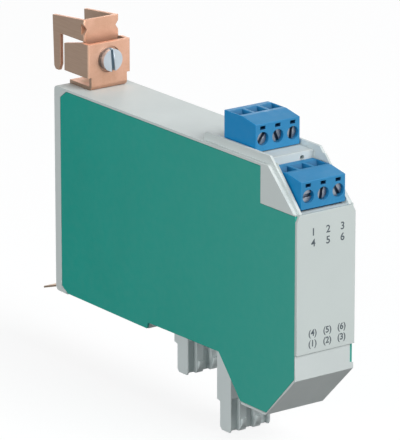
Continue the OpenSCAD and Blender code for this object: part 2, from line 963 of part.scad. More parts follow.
module circuit_board() {
    color("darkgreen")
        placed()
            difference() {
                across(board_left, board_face)
                    polygon(inset(cover_outline, board_margin));
                for (place = peg_places)
                    translate([0, place[0], place[1]])
                        rod_x(boss_d + 2 * board_gap, board_left - 1, board_face + 1);
                leg_holes();
                board_notches();
                for (y = tube_rows, step = [-1, 0, 1])
                    lead_hole(y, tube_z + step * (tube_l / 2 + 1.5));
                for (z = axial_rows, step = [-1, 1]) {
                    lead_hole(diode_y + step * (diode_l / 2 + lead_out), z);
                    lead_hole(resistor_y + step * (resistor_l / 2 + lead_out), z);
                }
            }
}

// Part with a lead at each end, along Y, bent down to the board
module axial_part(d, l) {
    x = board_face + d / 2 + 0.3;
    translate([x, 0, 0])
        rod_y(d, -l / 2, l / 2);
    translate([x, 0, 0])
        rod_y(lead_d, -l / 2 - lead_out, l / 2 + lead_out);
    for (step = [-1, 1])
        translate([0, step * (l / 2 + lead_out), 0])
            rod_x(lead_d, board_left - 0.8, x);
}

module discharge_tubes() {
    x = board_face + tube_d / 2 + 0.3;
    color("lavender")
        placed()
            for (y = tube_rows)
                translate([0, y, tube_z]) {
                    translate([x, 0, -tube_l / 2])
                        cylinder(d = tube_d - 0.6, h = tube_l);
                    for (z = [-tube_l / 2, -0.75, tube_l / 2 - 1.5])
                        translate([x, 0, z])
                            cylinder(d = tube_d, h = 1.5);
                    translate([x, 0, -tube_l / 2 - 1.5])
                        cylinder(d = lead_d, h = tube_l + 3);
                    for (step = [-1, 0, 1])
                        translate([0, 0, step * (tube_l / 2 + 1.5)])
                            rod_x(lead_d, board_left - 0.8, x);
                }
}

module suppressor_diodes() {
    color("dimgray")
        placed()
            for (z = axial_rows)
                translate([0, diode_y, z])
                    axial_part(diode_d, diode_l);
}

module decoupling_resistors() {
    color("tan")
        placed()
            for (z = axial_rows)
                translate([0, resistor_y, z])
                    axial_part(resistor_d, resistor_l);
}

// Plan view of a sheet bent to a U with rounded outer edges, closed toward the front
module bent_u(w, d, t, r) {
    difference() {
        union() {
            translate([-w / 2, r])
                square([w, d - r]);
            translate([r - w / 2, 0])
                square([w - 2 * r, d]);
            for (side = [-1, 1])
                translate([side * (w / 2 - r), r])
                    circle(r = r);
        }
        translate([t - w / 2, t])
            square([w - 2 * t, d]);
    }
}

// Screw box of the earthing clamp, folded from one sheet
module earth_clamp_box() {
    top = box_z + clamp_h;
    low = rear_h + clamp_under;
    color("peru")
        placed()
            difference() {
                union() {
                    intersection() {
                        translate([clamp_x, box_y, low])
                            linear_extrude(top - low)
                                bent_u(clamp_w, clamp_d, sheet_t, bend_r);
                        across(-clamp_w, clamp_w)
                            polygon([
                                [box_y - 1, low - 1],
                                [box_y + clamp_d + 1, low - 1],
                                [box_y + clamp_d + 1, top - 2],
                                [box_y + clamp_d * 0.3, top],
                                [box_y - 1, top]
                            ]);
                    }
                    across(clamp_x - foot_w / 2, clamp_x + foot_w / 2)
                        polygon(concat(
                            [[box_y, low + 0.2]],
                            arc([box_y + foot_r, box_z + foot_r], foot_r, 180, 270),
                            [[box_y + clamp_d - 1, box_z], [box_y + clamp_d - 1, box_z + sheet_t]],
                            arc([box_y + foot_r, box_z + foot_r], foot_r - sheet_t, 270, 180),
                            [[box_y + sheet_t, low + 0.2]]
                        ));
                }
                translate([clamp_x, box_y, rear_h + clamp_screw_z]) {
                    rod_y(clamp_screw_d + 0.5, -1, sheet_t + 1);
                    rod_y(clamp_head_d + 1, -1, dimple);
                }
                rivet_holes(box_z - 1, box_z + sheet_t + 1, 0.1);
                for (x = rivet_places)
                    translate([x, rivet_y, box_z + sheet_t - rivet_sink])
                        cylinder(d = rivet_head_d + 0.1, h = 1);
            }
}

// Clip that reaches over the busbar, folded from one sheet
module earth_rail_clip() {
    arm_z = clip_top - arm_h;
    leg_end = rear_h + leg_z;
    reach = leg_y + leg_w - clip_y;
    color("peru")
        placed()
            difference() {
                union() {
                    intersection() {
                        translate([clamp_x, clip_y, leg_end])
                            linear_extrude(clip_top - leg_end)
                                bent_u(clip_w, reach, sheet_t, bend_r);
                        across(-clip_w, clip_w)
                            polygon([
                                [clip_y - 1, arm_z],
                                [leg_y, arm_z],
                                [leg_y, leg_end + 2],
                                [leg_y + 0.9, leg_end],
                                [leg_y + leg_w - 1.4, leg_end],
                                [leg_y + leg_w - 0.6, leg_end + 1],
                                [leg_y + leg_w, clip_top - 1.5],
                                [clip_y + bend_r, clip_top],
                                [clip_y - 1, clip_top]
                            ]);
                    }
                    block(
                        [clamp_x - clip_w / 2 + 0.4, clip_y, rear_h + clamp_screw_z - 4],
                        [clamp_x + clip_w / 2 - 0.4, clip_y + sheet_t, arm_z + EPS]
                    );
                    translate([clamp_x, clip_y, rear_h + clamp_screw_z])
                        rod_y(clamp_screw_d + 2.6, sheet_t - EPS, sheet_t + 2);
                }
                translate([clamp_x, clip_y, rear_h + clamp_screw_z])
                    rod_y(clamp_screw_d + 2 * thread_gap, -1, sheet_t + 3);
                for (side = [-1, 1])
                    translate([clamp_x + side * clip_w / 2, clip_y + notch_y, clip_top - 3])
                        rotate([90, 0, 0])
                            linear_extrude(notch_y + 1)
                                polygon([
                                    [side, notch_h * (1 + 1 / notch_d) / 2],
                                    [-side * notch_d, 0],
                                    [side, -notch_h * (1 + 1 / notch_d) / 2]
                                ]);
            }
}

module earth_clamp_screw() {
    face = dimple - clamp_head_h;
    color("lightsteelblue")
        placed()
            translate([clamp_x, box_y + face, rear_h + clamp_screw_z]) {
                slotted_head(clamp_head_d, clamp_head_h, clamp_slot, clamp_slot_angle);
                rod_y(clamp_screw_d, clamp_head_h - EPS, clip_set + sheet_t + 3.6 - face);
            }
}

// Copper strip from the clamp down the rear wall to the board, ending in the rail leaf
module earth_strip() {
    color("peru")
        placed()
            difference() {
                union() {
                    across(-strip_w / 2, strip_w / 2)
                        strip_band();
                    block(
                        [board_face + SEAT, strip_y - tongue_l, rear_h / 2 - 3],
                        [board_face + SEAT + strip_t, strip_y + EPS, rear_h / 2 + 3]
                    );
                }
                rivet_holes(rear_h - wall_t - strip_t - 1, rear_h, 0.1);
            }
}

module earth_rivets() {
    top = box_z + sheet_t - rivet_sink + SEAT;
    low = rear_h - wall_t - SEAT - strip_t - SEAT;
    color("darkgoldenrod")
        placed()
            for (x = rivet_places)
                translate([x, rivet_y, 0]) {
                    translate([0, 0, low])
                        cylinder(d = rivet_d, h = top - low);
                    translate([0, 0, top])
                        cylinder(d = rivet_head_d, h = rivet_sink);
                    translate([0, 0, low - rivet_sink])
                        cylinder(d = rivet_head_d, h = rivet_sink);
                }
}

housing_frame();
side_cover_left();
side_cover_right();
front_cover();
terminal_block_upper();
terminal_block_lower();
terminal_contacts_upper();
terminal_contacts_lower();
terminal_screw_1();
terminal_screw_2();
terminal_screw_3();
terminal_screw_4();
terminal_screw_5();
terminal_screw_6();
clamp_cage_1();
clamp_cage_2();
clamp_cage_3();
clamp_cage_4();
clamp_cage_5();
clamp_cage_6();
plug_body_front();
plug_body_rear();
plug_contacts_front();
plug_contacts_rear();
circuit_board();
discharge_tubes();
suppressor_diodes();
decoupling_resistors();
earth_clamp_box();
earth_rail_clip();
earth_clamp_screw();
earth_strip();
earth_rivets();
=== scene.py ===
"""Dresses the surge protection barrier: moulded edges, finishes, printed figures, light and camera."""

import logging
import math
from dataclasses import dataclass, field
from enum import Enum, IntEnum
from functools import cache
from typing import Iterable, Sequence

import bmesh
import bpy
from mathutils import Matrix, Vector
from mathutils.bvhtree import BVHTree


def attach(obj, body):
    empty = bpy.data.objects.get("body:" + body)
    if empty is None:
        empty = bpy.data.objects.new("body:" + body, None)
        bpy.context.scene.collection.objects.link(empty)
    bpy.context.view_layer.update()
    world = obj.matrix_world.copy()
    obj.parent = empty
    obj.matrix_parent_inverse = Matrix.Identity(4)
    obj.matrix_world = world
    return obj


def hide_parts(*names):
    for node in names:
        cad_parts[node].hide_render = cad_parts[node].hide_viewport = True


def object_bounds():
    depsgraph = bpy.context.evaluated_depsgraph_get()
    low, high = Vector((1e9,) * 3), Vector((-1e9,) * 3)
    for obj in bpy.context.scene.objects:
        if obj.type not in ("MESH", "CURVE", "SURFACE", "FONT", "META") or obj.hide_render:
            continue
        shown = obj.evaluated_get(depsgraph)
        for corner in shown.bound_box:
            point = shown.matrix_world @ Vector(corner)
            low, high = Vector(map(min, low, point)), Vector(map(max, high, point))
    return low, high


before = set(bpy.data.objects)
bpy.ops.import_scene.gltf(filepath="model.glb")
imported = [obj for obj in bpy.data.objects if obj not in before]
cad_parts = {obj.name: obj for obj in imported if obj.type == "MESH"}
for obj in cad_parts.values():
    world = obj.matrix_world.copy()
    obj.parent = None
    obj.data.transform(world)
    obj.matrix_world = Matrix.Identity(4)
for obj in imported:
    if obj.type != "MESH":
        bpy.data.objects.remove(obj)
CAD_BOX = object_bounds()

LOG = logging.getLogger("barrier")

# Units, in metres
MM = 0.001
MICRON = 1e-6

# Front face of the housing, in millimetres
FRONT_Y = min(corner[1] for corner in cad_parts["front_cover"].bound_box) / MM

# Angles in radians under which faces are one flat region, and over which they are steps of a round wall
FLAT = math.radians(0.6)
LEAST_BEND = 1e-3

# Distances in metres under which corners are one, and under which a corner lies on a cutting plane
MERGE = 2e-6
ON_PLANE = 1e-8

# Range that most of a noise pattern lies in
NOISE = (0.3, 0.7)

# Sideways share of a face's direction, from where the painted light and shade of a side wall starts to where
# it is full
SIDE_SHADING_RANGE = (0.35, 0.95)

# Name of the mesh attribute that holds how closed in a place is, which sets the painted shade in recesses
RECESS_SHADE_ATTRIBUTE = "recess"

Colour = tuple[float, float, float]


def linear(colour: Colour) -> tuple[float, float, float, float]:
    """Turns a colour of 0 to 255 into linear light.

    Args:
        colour: Red, green and blue as they look on a screen.

    Returns:
        Linear red, green, blue and a full alpha.
    """
    parts = [part / 255.0 for part in colour]
    lit = [part / 12.92 if part <= 0.04045 else ((part + 0.055) / 1.055) ** 2.4 for part in parts]
    return (lit[0], lit[1], lit[2], 1.0)


def at(x: float, depth: float, z: float) -> Vector:
    """Gives a place in metres from millimetres across, behind the front face and above the seat."""
    return Vector((x, depth + FRONT_Y, z)) * MM


class Run(Enum):
    """Axis that the streaks of a worked surface run along, as the scale of their pattern."""

    ACROSS = (0.05, 1.0, 1.0)
    ALONG = (1.0, 0.05, 1.0)
    UP = (1.0, 1.0, 0.05)


class Mix(IntEnum):
    """Sockets of a colour mix, whose names repeat for every type of value."""

    FACTOR = 0
    FIRST = 6
    SECOND = 7
    RESULT = 2


class Graph:
    """Node tree of one material, with short calls for what the finishes share."""

    def __init__(self, name: str) -> None:
        """Starts a material with an empty tree, an output and a Principled shader.

        Args:
            name: Name of the material.
        """
        self.material = bpy.data.materials.new(name)
        self.material.use_nodes = True
        self.tree = self.material.node_tree
        self.tree.nodes.clear()
        self.output = self.node("ShaderNodeOutputMaterial")
        self.shader = self.node("ShaderNodeBsdfPrincipled")
        self.texture = self.node("ShaderNodeTexCoord")
        self.link(self.shader.outputs["BSDF"], self.output.inputs["Surface"])

    def node(self, kind: str, **values: object) -> bpy.types.Node:
        """Adds a node and sets its properties.

        Args:
            kind: Type name of the node.
            values: Properties to set on it.

        Returns:
            The node.
        """
        made = self.tree.nodes.new(kind)
        for name, value in values.items():
            setattr(made, name, value)
        return made

    def link(self, source: bpy.types.NodeSocket, target: bpy.types.NodeSocket) -> None:
        """Links an output to an input."""
        self.tree.links.new(source, target)

    def set(self, **values: object) -> None:
        """Sets inputs of the shader; an underscore in a name stands for a space."""
        for name, value in values.items():
            self.shader.inputs[name.replace("_", " ")].default_value = value

    def place(self, scale: Sequence[float]) -> bpy.types.NodeSocket:
        """Gives the place on the piece, stretched along the axes.

        Args:
            scale: Factor along each axis.

        Returns:
            The coordinates.
        """
        mapping = self.node("ShaderNodeMapping")
        mapping.inputs["Scale"].default_value = scale
        self.link(self.texture.outputs["Object"], mapping.inputs["Vector"])
        return mapping.outputs["Vector"]

    def noise(
        self, scale: float, detail: float = 3.0, place: bpy.types.NodeSocket | None = None
    ) -> bpy.types.NodeSocket:
        """Adds a noise pattern.

        Args:
            scale: Waves in a metre.
            detail: Octaves of finer noise.
            place: Coordinates to read, or none for the plain place on the piece.

        Returns:
            The pattern's strength, from 0 to 1.
        """
        made = self.node("ShaderNodeTexNoise")
        made.inputs["Scale"].default_value = scale
        made.inputs["Detail"].default_value = detail
        self.link(place or self.texture.outputs["Object"], made.inputs["Vector"])
        return made.outputs["Fac"]

    def ramp(
        self,
        value: bpy.types.NodeSocket,
        start: float,
        end: float,
        low: float = 0.0,
        high: float = 1.0,
    ) -> bpy.types.NodeSocket:
        """Maps one range of a value onto another and holds it at the ends.

        Args:
            value: The value.
            start: Value that gives the low result.
            end: Value that gives the high result.
            low: Low result.
            high: High result.

        Returns:
            The mapped value.
        """
        made = self.node("ShaderNodeMapRange")
        made.inputs["From Min"].default_value = start
        made.inputs["From Max"].default_value = end
        made.inputs["To Min"].default_value = low
        made.inputs["To Max"].default_value = high
        self.link(value, made.inputs["Value"])
        return made.outputs["Result"]

    def spread(
        self, pattern: bpy.types.NodeSocket, low: float = 0.0, high: float = 1.0
    ) -> bpy.types.NodeSocket:
        """Maps a noise pattern onto a range, from its low places to its high ones."""
        return self.ramp(pattern, *NOISE, low, high)

    def tint(
        self,
        factor: bpy.types.NodeSocket,
        first: bpy.types.NodeSocket | Colour,
        second: Colour,
    ) -> bpy.types.NodeSocket:
        """Blends two colours by a pattern.

        Args:
            factor: Pattern of 0 to 1.
            first: Colour where the pattern is 0, plain or from another node.
            second: Colour where the pattern is 1.

        Returns:
            The blended colour.
        """
        made = self.node("ShaderNodeMix", data_type="RGBA")
        if isinstance(first, bpy.types.NodeSocket):
            self.link(first, made.inputs[Mix.FIRST])
        else:
            made.inputs[Mix.FIRST].default_value = linear(first)
        made.inputs[Mix.SECOND].default_value = linear(second)
        self.link(factor, made.inputs[Mix.FACTOR])
        return made.outputs[Mix.RESULT]

    def paint_front_sheen(
        self, colour: bpy.types.NodeSocket, front: Colour | None, start: float
    ) -> bpy.types.NodeSocket:
        """Paints a sheen on a colour: it fades along the housing to a paler one at the front face, as painted
        light.

        Args:
            colour: Colour at the rear.
            front: Colour of the painted sheen at the front face, or none.
            start: Where the fade starts, in millimetres along the housing.

        Returns:
            The colour with its painted sheen.
        """
        if front is None:
            return colour
        axes = self.node("ShaderNodeSeparateXYZ")
        self.link(self.texture.outputs["Object"], axes.inputs[0])
        return self.tint(self.ramp(axes.outputs["Y"], start * MM, FRONT_Y * MM), colour, front)

    def paint_side_shading(self, colour: bpy.types.NodeSocket, painted_side_shading: Colour | None) -> bpy.types.NodeSocket:
        """Paints light and shade on the side walls, which face left or right, as a colour of their own.

        Args:
            colour: Colour of faces that look forward, back, up or down.
            painted_side_shading: Colour of the side walls with their painted light and shade, or none.

        Returns:
            The mixed colour.
        """
        if painted_side_shading is None:
            return colour
        axes = self.node("ShaderNodeSeparateXYZ")
        self.link(self.texture.outputs["Normal"], axes.inputs[0])
        size = self.node("ShaderNodeMath", operation="ABSOLUTE")
        self.link(axes.outputs["X"], size.inputs[0])
        return self.tint(self.ramp(size.outputs[0], *SIDE_SHADING_RANGE), colour, painted_side_shading)

    def paint_recess_shade(self, colour: bpy.types.NodeSocket, painted_recess_shade: Colour | None) -> bpy.types.NodeSocket:
        """Paints shade on a colour inside slots, holes and funnels, where the mesh marks them.

        Args:
            colour: Colour of the open faces.
            painted_recess_shade: Colour of the painted shade at the deepest places, or none.

        Returns:
            The colour with its painted shade.
        """
        if painted_recess_shade is None:
            return colour
        mark = self.node("ShaderNodeAttribute", attribute_name=RECESS_SHADE_ATTRIBUTE)
        return self.tint(mark.outputs["Fac"], colour, painted_recess_shade)

    def bump(self, heights: Iterable[tuple[bpy.types.NodeSocket, float]]) -> None:
        """Roughens the surface by one or more patterns.

        Args:
            heights: Each pattern with its depth in micrometres.
        """
        last = None
        for height, depth in heights:
            made = self.node("ShaderNodeBump")
            made.inputs["Strength"].default_value = 1.0
            made.inputs["Distance"].default_value = depth * MICRON
            self.link(height, made.inputs["Height"])
            if last is not None:
                self.link(last, made.inputs["Normal"])
            last = made.outputs["Normal"]
        if last is not None:
            self.link(last, self.shader.inputs["Normal"])


@dataclass(frozen=True)
class MouldedPlastic:
    """Injection moulded plastic with a fine spark-eroded grain and a faint flow of colour.

    Args:
        name: Name of the finish.
        colour: Colour as it looks in plain light.
        shift: Change of colour where the plastic flowed last.
        flow: Flow marks in a metre.
        flow_run: Stretch of the flow marks along each axis.
        roughness: Middle roughness.
        swing: Change of roughness either way.
        clouds: Cloudy spots in a metre, duller and glossier in turn.
        cloud_depth: Depth of the cloudy spots in micrometres.
        grain: Grains in a metre.
        grain_depth: Depth of the grain in micrometres.
        coat: Share of clear gloss on top.
        coat_roughness: Roughness of the clear gloss.
        shine: Strength of the plain reflection, 0.5 for common plastic.
        front: Colour of a painted sheen that it fades to at the front face, or none.
        sheen_start: Where that painted sheen starts, in millimetres along the housing.
        painted_side_shading: Colour of the side walls, with painted light and shade for the haze that they
            catch less of, or none.
        painted_recess_shade: Colour of the painted shade deep inside funnels and holes, or none.
    """

    name: str
    colour: Colour
    shift: float = 5.0
    flow: float = 55.0
    flow_run: tuple[float, float, float] = (1.0, 1.0, 0.6)
    roughness: float = 0.5
    swing: float = 0.06
    clouds: float = 420.0
    cloud_depth: float = 12.0
    grain: float = 5200.0
    grain_depth: float = 9.0
    coat: float = 0.0
    coat_roughness: float = 0.18
    shine: float = 0.35
    front: Colour | None = None
    sheen_start: float = 25.0
    painted_side_shading: Colour | None = None
    painted_recess_shade: Colour | None = None

    def material(self) -> bpy.types.Material:
        """Builds the finish's material.

        Returns:
            The material.
        """
        graph = Graph(self.name)
        flow = graph.spread(graph.noise(self.flow, detail=2.0, place=graph.place(self.flow_run)))
        low = tuple(max(part - self.shift, 0.0) for part in self.colour)
        high = tuple(min(part + self.shift, 255.0) for part in self.colour)
        # The colour gets a painted sheen towards the front face.
        colour = graph.paint_front_sheen(graph.tint(flow, low, high), self.front, self.sheen_start)
        # Side walls get painted light and shade; recesses get painted shade.
        colour = graph.paint_recess_shade(graph.paint_side_shading(colour, self.painted_side_shading), self.painted_recess_shade)
        graph.link(colour, graph.shader.inputs["Base Color"])
        cloud = graph.noise(self.clouds, detail=4.0)
        rough = graph.spread(cloud, self.roughness - self.swing, self.roughness + self.swing)
        graph.link(rough, graph.shader.inputs["Roughness"])
        graph.set(IOR=1.5, Specular_IOR_Level=self.shine)
        graph.set(Coat_Weight=self.coat, Coat_Roughness=self.coat_roughness)
        grain = graph.noise(self.grain, detail=2.0)
        graph.bump([(grain, self.grain_depth), (cloud, self.cloud_depth)])
        return graph.material


@dataclass(frozen=True)
class WorkedMetal:
    """Rolled, drawn or plated metal with streaks along its working direction and a light tarnish.

    Args:
        name: Name of the finish.
        colour: Colour of the clean metal.
        tarnish: Colour of the tarnished patches.
        patches: Tarnished patches in a metre.
        run: Axis of the streaks.
        roughness: Middle roughness.
        gloss: Roughness that the smoothest streaks lose.
        haze: Roughness that the dullest streaks gain.
        streaks: Streaks in a metre.
        streak_depth: Depth of the streaks in micrometres.
        dents: Shallow dents in a metre.
        dent_depth: Depth of the dents in micrometres.
        painted_side_shading: Darker colour of the side walls, painted shade for the light that falls on them,
            or none.
        painted_recess_shade: Colour of the painted shade deep inside slots, or none.
    """

    name: str
    colour: Colour
    tarnish: Colour
    patches: float = 240.0
    run: Run = Run.UP
    roughness: float = 0.32
    gloss: float = 0.08
    haze: float = 0.1
    streaks: float = 2600.0
    streak_depth: float = 5.0
    dents: float = 900.0
    dent_depth: float = 4.0
    painted_side_shading: Colour | None = None
    painted_recess_shade: Colour | None = None

    def material(self) -> bpy.types.Material:
        """Builds the finish's material.

        Returns:
            The material.
        """
        graph = Graph(self.name)
        patches = graph.spread(graph.noise(self.patches, detail=4.0))
        colour = graph.tint(patches, self.colour, self.tarnish)
        # Side walls get painted shade; slots get painted shade.
        colour = graph.paint_recess_shade(graph.paint_side_shading(colour, self.painted_side_shading), self.painted_recess_shade)
        graph.link(colour, graph.shader.inputs["Base Color"])
        streaks = graph.noise(self.streaks, place=graph.place(self.run.value))
        rough = graph.spread(streaks, self.roughness - self.gloss, self.roughness + self.haze)
        graph.link(rough, graph.shader.inputs["Roughness"])
        graph.set(Metallic=1.0)
        graph.bump([(streaks, self.streak_depth), (graph.noise(self.dents), self.dent_depth)])
        return graph.material


@dataclass(frozen=True)
class PrintedInk:
    """Thin pad-printed ink with a slightly uneven film.

    Args:
        name: Name of the finish.
        colour: Colour of the full film.
        thin: Colour where the film is thin.
        specks: Thin specks in a metre.
        blots: Dull blots in a metre.
        smooth: Least roughness.
        dull: Most roughness.
    """

    name: str
    colour: Colour
    thin: Colour
    specks: float = 3800.0
    blots: float = 1500.0
    smooth: float = 0.45
    dull: float = 0.65

    def material(self) -> bpy.types.Material:
        """Builds the finish's material.

        Returns:
            The material.
        """
        graph = Graph(self.name)
        film = graph.spread(graph.noise(self.specks, detail=4.0))
        graph.link(graph.tint(film, self.colour, self.thin), graph.shader.inputs["Base Color"])
        rough = graph.spread(graph.noise(self.blots), self.smooth, self.dull)
        graph.link(rough, graph.shader.inputs["Roughness"])
        return graph.material


Solid = MouldedPlastic | WorkedMetal
Finish = Solid | PrintedInk

# Grey of the frame; its side walls are painted lighter, as painted light.
FRAME_GREY = MouldedPlastic(
    "frame_grey_moulding", (210, 218, 217), shift=3.0, roughness=0.6, painted_side_shading=(217, 226, 225)
)
FRONT_GREY = MouldedPlastic(
    "front_grey_moulding", (205, 214, 212), shift=2.0, roughness=0.58, grain_depth=6.0
)
COVER_GREEN = MouldedPlastic(
    "cover_green_moulding",
    (6, 159, 145),
    shift=3.0,
    roughness=0.52,
    grain_depth=7.0,
    shine=0.22,
    # Painted sheen: the green is painted paler towards the front face.
    front=(60, 170, 155),
)
TERMINAL_BLUE = MouldedPlastic(
    "terminal_blue_moulding",
    (46, 132, 182),
    shift=4.0,
    roughness=0.55,
    grain=4200.0,
    grain_depth=5.0,
    # Side walls painted a deeper blue: painted light for the haze that they catch less of.
    painted_side_shading=(4, 138, 200),
    # Funnels and screw holes painted darker: painted shade in recesses.
    painted_recess_shade=(6, 64, 104),
)
PLUG_GREY = MouldedPlastic("plug_grey_moulding", (224, 234, 234), roughness=0.6)
BOARD_GREEN = MouldedPlastic(
    "board_lacquer", (22, 92, 58), roughness=0.3, grain=2400.0, grain_depth=6.0, coat=0.4
)
TUBE_CERAMIC = MouldedPlastic(
    "tube_glaze", (226, 222, 210), shift=4.0, roughness=0.22, grain=2000.0, grain_depth=3.0, coat=0.5
)
DIODE_BLACK = MouldedPlastic("diode_epoxy", (34, 34, 36), shift=4.0, roughness=0.4)
RESISTOR_TAN = MouldedPlastic("resistor_lacquer", (168, 138, 100), shift=6.0, roughness=0.34)
COPPER_SHEET = WorkedMetal(
    "rolled_copper",
    (216, 173, 150),
    (205, 162, 137),
    run=Run.ALONG,
    roughness=0.5,
    streak_depth=2.0,
    # Side walls painted darker: painted shade.
    painted_side_shading=(152, 131, 115),
)
COPPER_STRIP = WorkedMetal(
    "strip_copper",
    (200, 172, 150),
    (176, 150, 130),
    roughness=0.45,
    streak_depth=2.0,
    # Side walls painted darker: painted shade.
    painted_side_shading=(120, 106, 92),
)
RIVET_BRASS = WorkedMetal(
    "rivet_brass", (206, 168, 140), (186, 146, 118), run=Run.ACROSS, roughness=0.45, streak_depth=2.0
)
PLATED_SCREW = WorkedMetal(
    "zinc_plated_screw",
    (199, 208, 214),
    (186, 196, 204),
    run=Run.ACROSS,
    roughness=0.38,
    streaks=3200.0,
    streak_depth=1.2,
    # Slot painted darker: painted shade in the slot.
    painted_recess_shade=(166, 182, 192),
)
# Darker, bluish copy of the plated steel for the terminal screws: painted shade of the screw holes and
# painted reflection of the blue blocks round them.
SHADED_TERMINAL_SCREW = WorkedMetal(
    "terminal_screw_steel_painted_shade",
    (170, 176, 184),
    (126, 134, 144),
    run=Run.ACROSS,
    roughness=0.36,
    streaks=3200.0,
    streak_depth=1.2,
    # Slots painted darker: painted shade in the slots.
    painted_recess_shade=(98, 110, 126),
)
TINNED_CONTACT = WorkedMetal("tinned_contact", (196, 196, 192), (170, 170, 168), roughness=0.3)
CAGE_BRASS = WorkedMetal("cage_brass", (205, 175, 112), (176, 146, 92), roughness=0.33)
FIGURE_INK = PrintedInk("figure_ink", (66, 76, 84), (92, 102, 108))


@cache
def material_of(finish: Finish) -> bpy.types.Material:
    """Gives the material of a finish, built on its first use."""
    return finish.material()


def wear(piece: bpy.types.Object, finish: Finish) -> None:
    """Puts one finish on every face of a piece."""
    piece.data.materials.clear()
    piece.data.materials.append(material_of(finish))


def make_piece(name: str, bm: bmesh.types.BMesh, finish: Finish, body: str) -> bpy.types.Object:
    """Turns a bmesh into a finished piece that rides on a body.

    Args:
        name: Name of the piece.
        bm: Its mesh, in place. It is freed.
        finish: Its finish.
        body: CAD body that it moves with.

    Returns:
        The piece.
    """
    mesh = bpy.data.meshes.new(name)
    bm.to_mesh(mesh)
    bm.free()
    piece = bpy.data.objects.new(name, mesh)
    bpy.context.scene.collection.objects.link(piece)
    wear(piece, finish)
    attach(piece, body)
    LOG.info("%s: %d faces on %s", name, len(mesh.polygons), body)
    return piece


def flat_regions(bm: bmesh.types.BMesh) -> list[list[bmesh.types.BMFace]]:
    """Groups the faces of a mesh into flat regions.

    Args:
        bm: The mesh.

    Returns:
        The faces of each region, in the mesh's order.
    """
    regions, seen = [], set()
    for start in bm.faces:
        if start in seen:
            continue
        region, step = [start], 0
        seen.add(start)
        while step < len(region):
            for edge in region[step].edges:
                if len(edge.link_faces) == 2 and edge.calc_face_angle(1.0) < FLAT:
                    fresh = [face for face in edge.link_faces if face not in seen]
                    seen.update(fresh)
                    region.extend(fresh)
            step += 1
        regions.append(region)
    return regions


def rims(region: list[bmesh.types.BMFace]) -> list[list[bmesh.types.BMVert]]:
    """Finds the closed rims of a flat region.

    Args:
        region: Its faces.

    Returns:
        The corners of each rim; a region with holes has more than one rim.
    """
    inside = set(region)
    edges = dict.fromkeys(
        edge for face in region for edge in face.edges if sum(near in inside for near in edge.link_faces) == 1
    )
    found = []
    while edges:
        rim, front = [], [edges.popitem()[0]]
        while front:
            for vert in front.pop().verts:
                rim.append(vert)
                for edge in vert.link_edges:
                    if edge in edges:
                        del edges[edge]
                        front.append(edge)
        found.append(rim)
    return found


def cutting_normal(facing: Vector) -> Vector:
    """Chooses the normal of the planes that cut a flat region.

    Args:
        facing: Normal of the region.

    Returns:
        The main axis that lies second closest to the region's plane, turned into that plane.
    """
    mains = (Vector((1, 0, 0)), Vector((0, 1, 0)), Vector((0, 0, 1)))
    axis = sorted(mains, key=lambda main: abs(main.dot(facing)))[1]
    return (axis - facing * axis.dot(facing)).normalized()


def open_rings(bm: bmesh.types.BMesh) -> None:
    """Cuts every flat region that has holes through the middle of each hole, so that no face keeps a hole.

    Args:
        bm: The mesh, of loose triangles or larger faces.
    """
    for region in flat_regions(bm):
        loops = rims(region) if len(region) > 2 else []
        if len(loops) < 2:
            continue
        normal = cutting_normal(region[0].normal)
        middles = [sum((vert.co for vert in rim), Vector()) / len(rim) for rim in loops]
        faces = list(region)
        for middle in middles:
            edges = dict.fromkeys(edge for face in faces for edge in face.edges)
            verts = dict.fromkeys(vert for face in faces for vert in face.verts)
            geom = faces + list(edges) + list(verts)
            cut = bmesh.ops.bisect_plane(bm, geom=geom, dist=ON_PLANE, plane_co=middle, plane_no=normal)
            faces = [item for item in cut["geom"] if isinstance(item, bmesh.types.BMFace)]
            for item in cut["geom_cut"]:
                if isinstance(item, bmesh.types.BMEdge):
                    item.seam = True


@dataclass
class RecessGauge:
    """Feels how closed in a surface is, with rays that fan out from it, for the painted shade in recesses.

    Args:
        reach: Distance in millimetres up to which a wall counts.
        leans: Sideways slope of the rays in each ring.
        spokes: Rays in each ring.
        full: Share of stopped rays that counts as fully closed.
        inset: Share of the way to the middle of a face at which its rays start.
        lift: Height over the face at which they start, in millimetres.
    """

    reach: float = 3.0
    leans: tuple[float, ...] = (0.7, 2.0)
    spokes: int = 6
    full: float = 0.6
    inset: float = 0.05
    lift: float = 0.02

    def fan(self, facing: Vector) -> list[Vector]:
        """Spreads the rays round a direction.

        Args:
            facing: The direction.

        Returns:
            The directions of the rays.
        """
        aside = facing.orthogonal().normalized()
        turn = Matrix.Rotation(math.tau / self.spokes, 3, facing)
        rays = [facing]
        for lean in self.leans:
            spoke = aside.copy()
            for _ in range(self.spokes):
                rays.append((facing + spoke * lean).normalized())
                spoke.rotate(turn)
        return rays

    def mark(self, bm: bmesh.types.BMesh) -> None:
        """Writes on each face corner how much of its view its own piece closes, from 0 in the open to 1.

        Args:
            bm: The mesh.
        """
        layer = bm.loops.layers.float.new(RECESS_SHADE_ATTRIBUTE)
        tree = BVHTree.FromBMesh(bm)
        lift, reach = self.lift * MM, self.reach * MM
        for face in bm.faces:
            rays = self.fan(face.normal)
            middle = face.calc_center_median()
            for loop in face.loops:
                start = loop.vert.co.lerp(middle, self.inset) + face.normal * lift
                shut = sum(tree.ray_cast(start, ray, reach)[0] is not None for ray in rays)
                loop[layer] = min(1.0, shut / (self.full * len(rays)))


